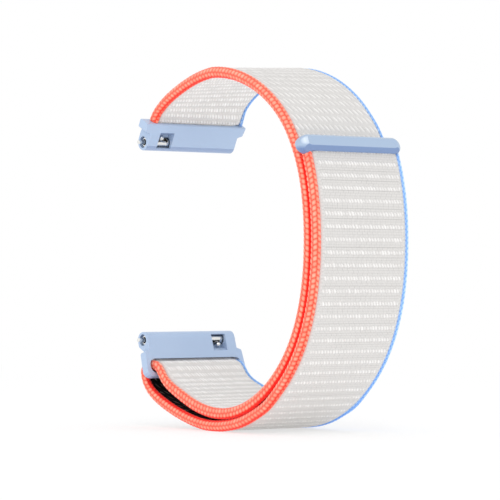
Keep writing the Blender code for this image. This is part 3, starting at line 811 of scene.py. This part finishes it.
# Hook patch: a stitched tape with rows of small bent hooks
hooks = {
    "start": 4.0,            # past the peel axis
    "endMargin": 0.7,
    "halfWidth": 8.7,
    "top": -0.40,
    "bottom": -0.64,
    "rib": 0.02,
    "ribPitch": 0.5,
    "rowPitch": 1.0,
    "columnPitch": 0.86,
    "columnShift": 0.25,     # of a pitch, one way and the other from row to row
    "wander": 0.06,
    "margin": 0.8,
    "wire": 0.075,
    "stations": 420,
    "acrossPoints": 120,
    "path": ((0.0, 0.0), (0.02, 0.22), (0.06, 0.38), (0.17, 0.48), (0.30, 0.44), (0.35, 0.33)),
}


def hookTapePiece(first, last):
    lengths = np.linspace(first, last, hooks["stations"])
    x = np.linspace(-hooks["halfWidth"], hooks["halfWidth"], hooks["acrossPoints"])
    x = np.concatenate((x, x[::-1]))
    turn = 2 * np.pi / hooks["ribPitch"]
    rib = hooks["rib"] * np.sin(turn * lengths[:, None]) * np.sin(turn * x)
    face = np.repeat((hooks["top"], hooks["bottom"]), hooks["acrossPoints"])
    return ringMesh("hookTapeBase", alongRoute(lengths, x[None, :], face[None, :] - rib))


def hooksPiece(first, last):
    side = hooks["halfWidth"] - hooks["margin"]
    rows = np.arange(first + hooks["margin"], last - hooks["margin"], hooks["rowPitch"])
    columns = np.arange(-side, side + hooks["wire"], hooks["columnPitch"])
    start, x = (value.ravel() for value in np.meshgrid(rows, columns, indexing="ij"))
    row = np.repeat(np.arange(len(rows)), len(columns))
    column = np.tile(np.arange(len(columns)), len(rows))
    facing = np.where(row % 2 == 0, 1.0, -1.0)
    x = x + hooks["columnShift"] * hooks["columnPitch"] * facing
    x = x + hooks["wander"] * (hashed(row, column) - 0.5)
    path = np.array(hooks["path"])
    heading = np.gradient(path, axis=0)
    heading /= np.linalg.norm(heading, axis=1)[:, None]
    wireSides = ((1, 0), (0, 1), (-1, 0), (0, -1))
    rings = []
    for (forward, deep), (turnForward, turnDeep) in zip(path, heading):
        for sideways, normal in wireSides:
            along = start + facing * (forward - turnDeep * normal * hooks["wire"])
            lift = hooks["bottom"] - deep - turnForward * normal * hooks["wire"]
            place, outwards = route.at(along)
            spot = place + outwards * lift
            across = x + facing * sideways * hooks["wire"]
            rings.append(np.stack((across, spot[:, 0], spot[:, 1]), 1))
    points = np.stack(rings, 1)
    quads, near, far = ringFaces(len(path), len(wireSides))
    faces = np.concatenate((quads, near[None, :], far[None, :]))
    corners = faces[None, :, :] + (np.arange(len(points)) * points.shape[1])[:, None, None]
    corners = corners.reshape(-1, 4)
    sizes = np.full(len(corners), 4)
    return makeMesh("hooks", points.reshape(-1, 3), corners.ravel(), sizes)


# Finishes: colours as on the screen, and the tones of the yarn at which they lie
webLook = {
    "white": (
        (0.0, (176, 174, 172)), (0.25, (205, 203, 201)),
        (0.55, (224, 222, 220)), (0.9, (246, 245, 244)),
    ),
    # painted shade: near-black colours of the lining in the gap between the layers
    "black": ((0.34, (1, 1, 1)), (0.45, (14, 11, 10)), (0.75, (130, 118, 112))),
    "speck": (4.2, 4.0),      # scale and detail of its noise
    "speckTone": 0.20,
    "broad": (0.3, 2.0),
    "broadTone": 0.06,
    "yarnAcross": 0.23,       # pitches of the single yarns
    "yarnAlong": 0.27,
    "yarnSlant": 6.0,
    "roughness": 0.85,
    "bump": (0.45, 0.00006),
}

webFinish = Finish("whiteWovenWeb")
across = webFinish.attribute("across")
along = webFinish.attribute("along")
weft = webFinish.node("ShaderNodeCombineXYZ", {}, across, along, 0.0)
speck = webFinish.noise(*webLook["speck"], weft)
broad = webFinish.noise(*webLook["broad"], weft)
tone = webFinish.attribute("shine") + (speck - 0.5) * webLook["speckTone"]
tone = tone + (broad - 0.5) * webLook["broadTone"]
whiteYarn = webFinish.ramp(tone, *webLook["white"])
# Painted shade: where the gap shade is 1, the web takes the near-black colours
gapShadeYarn = webFinish.ramp(tone, *webLook["black"])
acrossWave = (across * (2 * math.pi / webLook["yarnAcross"])).maths("SINE")
alongWave = along * (2 * math.pi / webLook["yarnAlong"]) + across * webLook["yarnSlant"]
yarns = acrossWave * alongWave.maths("SINE")
webFinish.set(
    Base_Color=webFinish.blendColours(webFinish.attribute("dark"), whiteYarn, gapShadeYarn),
    Roughness=webLook["roughness"], Sheen_Weight=0.04, Sheen_Roughness=0.5,
    Specular_IOR_Level=0.2, Normal=webFinish.bump(yarns * 0.5 + speck, *webLook["bump"]),
)

cordLook = {
    "coral": ((0.06, (252, 30, 10)), (0.34, (255, 92, 68)), (0.66, (255, 132, 108)),
              (0.98, (255, 177, 152))),
    "blue": ((0.06, (104, 158, 244)), (0.34, (136, 184, 254)), (0.66, (162, 203, 255)),
             (0.98, (200, 225, 255))),
    "fibres": (2.2, 2.0, 9.0),    # how fine they are along, round and over a strand
    "fibreTone": 0.30,
    "pressedTone": 0.80,      # painted shade: darker where a side is close to the next layer
    "belowStart": 0.25,       # painted shade: darker where it faces down, from here on
    "belowTone": 0.75,
    "plies": 4,               # in a strand
    "roughness": 0.72,
    "bump": (0.45, 0.00005),
}


def cordFinish(name, stops):
    finish = Finish(name)
    strand = finish.attribute("strand")
    places = (finish.attribute("along"), finish.attribute("turn"), strand)
    places = [place * fineness for place, fineness in zip(places, cordLook["fibres"])]
    fibres = finish.noise(1.0, 3.0, finish.node("ShaderNodeCombineXYZ", {}, *places))
    # Painted shade: sides that face down are painted darker, and so are sides close to the next
    # layer
    upwards = finish.partAlong("Z", "ShaderNodeNewGeometry", "Normal")
    paintedUnderShade = (upwards * -1.0 - cordLook["belowStart"]).maths("MAXIMUM", 0.0)
    tone = finish.attribute("shine") + (fibres - 0.5) * cordLook["fibreTone"]
    tone = tone - finish.attribute("pressed") * cordLook["pressedTone"]
    tone = tone - paintedUnderShade * cordLook["belowTone"]
    ply = (strand * (2 * math.pi * cordLook["plies"])).maths("SINE")
    finish.set(
        Base_Color=finish.ramp(tone, *stops), Roughness=cordLook["roughness"],
        Sheen_Weight=0.25, Sheen_Roughness=0.4, Specular_IOR_Level=0.35,
        Normal=finish.bump(ply * 0.5 + fibres, *cordLook["bump"]),
    )
    return finish.material


coralBraid = cordFinish("coralBraid", cordLook["coral"])
blueBraid = cordFinish("blueBraid", cordLook["blue"])


# Moulded plastic, with painted shade: a side that faces down is painted darker towards the
# shade colour, from the start on, as steeply as the slope, and by no more than the share "most"
adaptorLook = {
    "deep": (166, 187, 216),
    "pale": (171, 192, 220),
    "shade": (62, 86, 146),
    "roughness": 0.30,
    "slope": 5.0,
    "start": 2.35,
    "most": 0.35,
}
tabLook = {
    "deep": (157, 177, 202),
    "pale": (162, 182, 207),
    "shade": (80, 112, 168),
    "roughness": 0.24,
    "slope": 1.5,
    "start": 0.20,
    "most": 0.75,
    "streak": {               # painted reflection: a broad pale streak on the near end, where it faces this way
        "direction": (-0.48, -0.76, 0.44),
        "start": 0.885,
        "slope": 9.0,
        "strength": 0.62,
        "colour": (226, 236, 248),
    },
}


def plasticFinish(name, look):
    finish = Finish(name)
    grain = finish.noise(900.0, 4.0)
    # Painted shade on the sides that face down
    upwards = finish.partAlong("Z", "ShaderNodeNewGeometry", "Normal")
    paintedUnderShade = (upwards * -look["slope"] - look["start"]).maths("MAXIMUM", 0.0)
    paintedUnderShade = paintedUnderShade.maths("MINIMUM", look["most"])
    face = finish.ramp(finish.noise(60.0, 2.0), (0.3, look["deep"]), (0.7, look["pale"]))
    # Painted reflection: the near end is painted paler where it faces the given direction
    streak = look.get("streak")
    if streak:
        own = finish.node("ShaderNodeTexCoord", {}, output="Normal")
        settings = {"operation": "DOT_PRODUCT"}
        facing = finish.node(
            "ShaderNodeVectorMath", settings, own, streak["direction"], output="Value"
        )
        broad = ((facing - streak["start"]) * streak["slope"]).maths("MAXIMUM", 0.0)
        sideways = finish.partAlong("X", "ShaderNodeTexCoord", "Object")
        broad = broad.maths("MINIMUM", 1.0) * sideways.maths("LESS_THAN", 0.0)
        face = finish.blendColours(
            broad * streak["strength"], face, screenColour(*streak["colour"])
        )
    finish.set(
        Base_Color=finish.blendColours(paintedUnderShade, face, screenColour(*look["shade"])),
        Roughness=look["roughness"] + (grain - 0.5) * 0.10, Specular_IOR_Level=0.5,
        Normal=finish.bump(grain, 0.12, 0.00002),
    )
    return finish.material


adaptorPlastic = plasticFinish("adaptorPlastic", adaptorLook)
tabPlastic = plasticFinish("tabPlastic", tabLook)

steel = Finish("polishedSteel")
brushed = steel.noise(1500.0, 3.0)
steel.set(
    Base_Color=screenColour(232, 232, 230), Metallic=1.0, Roughness=0.14 + brushed * 0.12,
    Normal=steel.bump(brushed, 0.1, 0.00001),
)

springSteel = Finish("springSteel")
springSteel.set(
    Base_Color=screenColour(176, 176, 174), Metallic=1.0,
    Roughness=0.25 + springSteel.noise(2500.0) * 0.15,
)

hookTape = Finish("hookTape")
hookTape.set(
    Base_Color=hookTape.ramp(
        hookTape.noise(700.0), (0.3, (196, 197, 200)), (0.7, (226, 227, 230))
    ),
    Roughness=0.5, Specular_IOR_Level=0.4,
)
print("finishes made")


# The strip, in five stretches: what bends at a hinge is a stretch of its own
stretches = {
    "hemStart": 0.35,
    "turnBefore": 1.6,
    "turnAfter": 2.6,
    "bendBefore": 1.2,       # most of the bend lies past its axis, so it doesn't press inwards
    "bendAfter": 4.0,
    "intoTab": 1.6,
}
swing, peel = marks["swing"], marks["peel"]
turnFirst, turnLast = swing - stretches["turnBefore"], swing + stretches["turnAfter"]
bendFirst, bendLast = peel - stretches["bendBefore"], peel + stretches["bendAfter"]
cuts = [
    ("fixedRun", stretches["hemStart"], turnFirst, "fixed_run"),
    ("turn", turnFirst, turnLast, ("fixed_run", "outer_run")),
    ("outerRun", turnLast, bendFirst, "outer_run"),
    ("bend", bendFirst, bendLast, ("outer_run", "tip")),
    ("tip", bendLast, marks["end"] + stretches["intoTab"], "tip"),
]
cords = ((-1, "NearEdge", coralBraid, "near_edge"), (1, "FarEdge", blueBraid, "far_edge"))
cadRuns = {"fixedRun": "fixed_run", "outerRun": "outer_run", "tip": "tip"}


def placeAt(length):
    place = route.at(length)[0][0]
    return (0, place[0] * mm, place[1] * mm)


def carry(piece, first, last, body):
    if isinstance(body, str):
        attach(piece, body)
    else:
        placeAt(first)
        placeAt(last)
        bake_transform(piece)


for name, first, last, body in cuts:
    webPiece = webRun(f"{name}Web", first, last)
    webPiece.data.materials.append(webFinish.material)
    cordFirst = marks["mouth"] if name == "fixedRun" else first
    cordLast = marks["end"] + cordSizes["intoTab"] if name == "tip" else last
    pieces = [webPiece]
    for side, label, finish, slotName in cords:
        cord = cordRun(f"{name}{label}", side, cordFirst, cordLast)
        cord.data.materials.append(finish)
        pieces.append(cord)
    cadRun = cadRuns.get(name)
    for piece, part in zip(pieces, ("web", "near_edge", "far_edge")):
        carry(piece, first, last, body)
        if cadRun:
            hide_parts(f"{cadRun}_{part}")
    print("stretch made:", name)


turnFold = foldPiece()
turnFold.data.materials.append(webFinish.material)
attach(turnFold, "fixed_run")
foldPlace, foldUp = (value[0] for value in route.at(marks["slot"] + fold["away"]))
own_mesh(turnFold)
print("fold behind the slot made")


tabShown = tabPiece()
tabShown.data.materials.append(tabPlastic)
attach(tabShown, "tip")
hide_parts("end_tab")
patchFirst, patchLast = peel + hooks["start"], marks["end"] - hooks["endMargin"]
tape = hookTapePiece(patchFirst, patchLast)
for piece in (tape, hooksPiece(patchFirst, patchLast)):
    piece.data.materials.append(hookTape.material)
    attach(piece, "tip")
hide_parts("hook_patch")
print("tab and hook patch made")


for name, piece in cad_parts.items():
    if piece.hide_render:
        continue
    finish = steel.material
    if name in ("upper_adaptor", "lower_adaptor"):
        finish = adaptorPlastic
    elif name.endswith("spring"):
        finish = springSteel.material
    piece.data.materials.clear()
    piece.data.materials.append(finish)

# Each spring gets a mesh of its own
for label, towardsFar in (("upper", True), ("lower", False)):
    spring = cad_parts[f"{label}_bar_spring"]
    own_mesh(spring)
print("hard pieces finished")


# Floor, light and camera
studio = {
    "floorHeight": -36.9,
    "floorSize": 4.0,
    "distance": 525.0,
    "azimuth": 37.0,
    "lens": 187.2,
    "clipStart": 0.01,
    "sideways": 12.76,
    "height": -8.36,
    "tilt": 0.727,
    "floorBounce": (235, 235, 235),
    "floorPale": (250, 250, 250),
    "floorLight": 0.40,       # what the floor itself adds from below, like a light table
    "floorGlow": 0.55,        # share of plain white in the floor as seen, near the strap
    "floorFade": 0.35,        # in m, where the floor as seen is all white
    "worldStrength": 1.0,
    # Place, width and height in m, and power in W
    "lamps": {
        "key": ((-0.22, -0.40, 0.50), (0.07, 0.50), 0.55),
        "low": ((-0.50, -0.40, 0.02), (0.50, 0.50), 0.35),
    },
}


def makeFloor():
    work = bmesh.new()
    bmesh.ops.create_grid(work, x_segments=1, y_segments=1, size=studio["floorSize"] / 2)
    mesh = bpy.data.meshes.new("floor")
    work.to_mesh(mesh)
    work.free()
    floor = bpy.data.objects.new("floor", mesh)
    floor.location = (0, 0, studio["floorHeight"] * mm)
    bpy.context.scene.collection.objects.link(floor)
    finish = Finish("paleFloor")
    finish.set(
        Base_Color=screenColour(*studio["floorBounce"]), Roughness=0.95, Specular_IOR_Level=0.0,
        Emission_Color=(1.0, 1.0, 1.0, 1.0), Emission_Strength=studio["floorLight"],
    )
    place = finish.node("ShaderNodeTexCoord", {}, output="Object")
    away = finish.node("ShaderNodeVectorMath", {"operation": "LENGTH"}, place, output="Value")
    white = (away / studio["floorFade"]).maths("POWER", 2.0).maths("MINIMUM", 1.0)
    white = studio["floorGlow"] + white * (1 - studio["floorGlow"])
    paleColour = screenColour(*studio["floorPale"])
    pale = finish.node("ShaderNodeBsdfDiffuse", {}, paleColour, output="BSDF")
    glow = finish.node("ShaderNodeEmission", {}, (1.0, 1.0, 1.0, 1.0), 1.0)
    shown = finish.node("ShaderNodeMixShader", {}, white, pale, glow)
    plain = Wire(finish, finish.shader.outputs[0])
    whole = finish.node("ShaderNodeMixShader", {}, finish.seenOrReflected(), plain, shown)
    finish.plug(finish.output.inputs[0], whole)
    mesh.materials.append(finish.material)


def makeLight():
    world = bpy.data.worlds.new("studio")
    world.use_nodes = True
    bpy.context.scene.world = world
    graph = Graph(world.node_tree)
    graph.tree.nodes.clear()
    white = (1.0, 1.0, 1.0, 1.0)
    shown = graph.node("ShaderNodeBackground", {}, white, 1.0)
    light = graph.node("ShaderNodeBackground", {}, white, studio["worldStrength"])
    mixed = graph.node("ShaderNodeMixShader", {}, graph.seenOrReflected(), light, shown)
    graph.node("ShaderNodeOutputWorld", {}, mixed)
    for name, (place, (wide, high), power) in studio["lamps"].items():
        lamp = bpy.data.lights.new(name, "AREA")
        lamp.shape = "RECTANGLE"
        lamp.size = wide
        lamp.size_y = high
        lamp.energy = power
        item = bpy.data.objects.new(name, lamp)
        item.location = place
        item.rotation_euler = (-Vector(place)).to_track_quat("-Z", "Y").to_euler()
        bpy.context.scene.collection.objects.link(item)


def makeCamera():
    azimuth = math.radians(studio["azimuth"])
    forward = Vector((math.sin(azimuth), math.cos(azimuth), 0))
    right = Vector((math.cos(azimuth), -math.sin(azimuth), 0))
    camera = bpy.data.cameras.new("camera")
    camera.lens = studio["lens"]
    camera.clip_start = studio["clipStart"]
    item = bpy.data.objects.new("camera", camera)
    place = right * studio["sideways"] - forward * studio["distance"]
    item.location = (place + Vector((0, 0, studio["height"]))) * mm
    item.rotation_euler = (math.radians(90 + studio["tilt"]), 0, -azimuth)
    bpy.context.scene.collection.objects.link(item)
    bpy.context.scene.camera = item


makeFloor()
makeLight()
makeCamera()
bpy.context.scene.view_settings.view_transform = "Standard"
